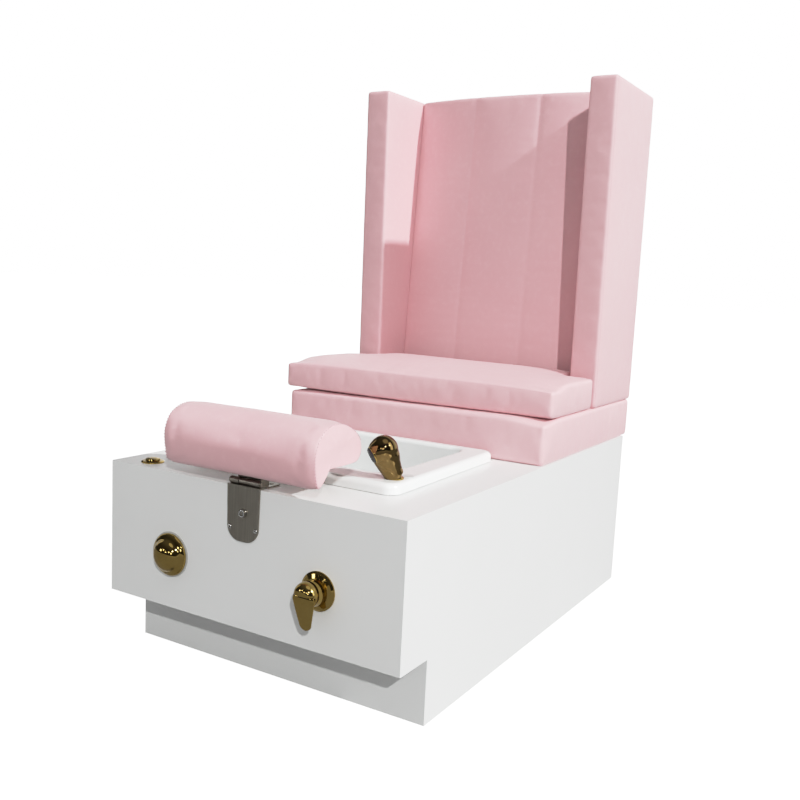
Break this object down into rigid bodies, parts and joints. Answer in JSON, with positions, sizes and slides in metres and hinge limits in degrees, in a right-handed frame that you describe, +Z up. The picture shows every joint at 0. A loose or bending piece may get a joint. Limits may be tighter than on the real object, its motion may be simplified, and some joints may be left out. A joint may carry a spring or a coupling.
{
  "type": "pedicure spa chair",
  "caption": "Pedicure spa chair: lacquered cabinet with foot basin, flip-forward footrest, mixer, hand shower and winged upholstered seat.",
  "frame": {"origin": "on the floor under the middle of the whole chair's outline", "axes": "+X to the viewer's right when facing the front controls, +Y from the front controls to the backrest, +Z up"},
  "size_m": [0.7739, 1.323, 1.4],
  "materials": {
    "white_lacquer": "gloss",
    "white_acrylic": "gloss",
    "pink_vinyl": "satin",
    "gold": "polished",
    "steel": "satin",
    "plywood": "matte",
    "grey_rubber": "matte",
    "black_plastic": "satin",
    "grey_plastic": "satin",
    "brass": "satin",
    "hose": "satin"
  },
  "bodies": {
    "chair": {"air_bellows": "grey_rubber", "air_bezel": "gold", "air_switch_box": "black_plastic", "air_tube": "hose", "back_board": "plywood", "back_cover": "pink_vinyl", "back_cushion": "pink_vinyl", "basin_seal": "grey_rubber", "basin_shell": "white_acrylic", "bracket_fixings": "steel", "corner_battens": "plywood", "deck_top": "white_lacquer", "drain_flange": "gold", "footrest_bracket": "steel", "front_panel": "white_lacquer", "hinge_pin": "steel", "jet_cap": "white_acrylic", "jet_housing": "white_acrylic", "jet_motor": "black_plastic", "kick_board": "white_lacquer", "left_side_panel": "white_lacquer", "left_wing": "pink_vinyl", "mixer_body": "brass", "mixer_cartridge": "brass", "mixer_escutcheon": "gold", "mixer_sleeve": "gold", "partition": "white_lacquer", "right_side_panel": "white_lacquer", "right_wing": "pink_vinyl", "rim_cap": "grey_plastic", "seat_base": "pink_vinyl", "seat_frame": "plywood", "service_panel": "white_lacquer", "service_panel_screws": "steel", "shower_dock": "gold", "shower_hose": "hose", "soffit_panel": "white_lacquer", "supply_hoses": "hose", "waste_actuator": "black_plastic", "waste_cable": "hose", "waste_gasket": "grey_rubber", "waste_pipe": "grey_plastic", "waste_trap": "grey_plastic", "water_inlets": "brass", "wing_bolts": "steel", "wing_cores": "plywood"},
    "mixer_hub": {"mixer_hub": "gold", "lever_pin": "gold"},
    "mixer_lever": {"mixer_lever": "gold"},
    "waste_knob": {"waste_knob": "gold"},
    "drain_plug": {"drain_plug": "gold"},
    "air_button": {"air_button": "gold"},
    "hand_shower": {"hand_shower": "gold", "spray_face": "black_plastic", "shower_hose_tail": "hose"},
    "footrest": {"footrest_riser": "steel", "footrest_board": "plywood", "footrest_pad": "pink_vinyl"},
    "seat_cushion": {"seat_cushion": "pink_vinyl"},
    "jet_impeller": {"jet_impeller": "white_acrylic"}
  },
  "joints": [
    {"name": "footrest_flip", "type": "hinge", "parent": "chair", "child": "footrest", "pos_m": [0, -0.594, 0.442], "axis": [1, 0, 0], "range_deg": [0, 90]},
    {"name": "mixer_swivel", "type": "hinge", "parent": "chair", "child": "mixer_hub", "pos_m": [0.19, -0.63, 0.259], "axis": [0, -1, 0], "range_deg": [-45, 45]},
    {"name": "lever_lift", "type": "hinge", "parent": "mixer_hub", "child": "mixer_lever", "pos_m": [0.19, -0.644, 0.263], "axis": [-1, 0, 0], "range_deg": [0, 25]},
    {"name": "waste_turn", "type": "hinge", "parent": "chair", "child": "waste_knob", "pos_m": [-0.198, -0.6, 0.254], "axis": [0, -1, 0], "range_deg": [0, 90]},
    {"name": "drain_plug_lift", "type": "slide", "parent": "chair", "child": "drain_plug", "axis": [0, 0, 1], "range_m": [0, 0.01]},
    {"name": "air_press", "type": "slide", "parent": "chair", "child": "air_button", "axis": [0, 0, -1], "range_m": [0, 0.004], "stiffness_N_per_m": 900, "springref_m": -0.003},
    {"name": "hand_shower_pull", "type": "slide", "parent": "chair", "child": "hand_shower", "axis": [0, 0, 1], "range_m": [0, 0.15]},
    {"name": "seat_cushion_lift", "type": "slide", "parent": "chair", "child": "seat_cushion", "axis": [0, 0, 1], "range_m": [0, 0.12]},
    {"name": "jet_spin", "type": "hinge", "parent": "chair", "child": "jet_impeller", "pos_m": [-0.195, -0.27, 0.29], "axis": [1, 0, 0], "continuous": true}
  ],
  "couplings": [
    {"joint": "drain_plug_lift", "follows": "waste_turn", "m_per_rad": 0.006366}
  ]
}
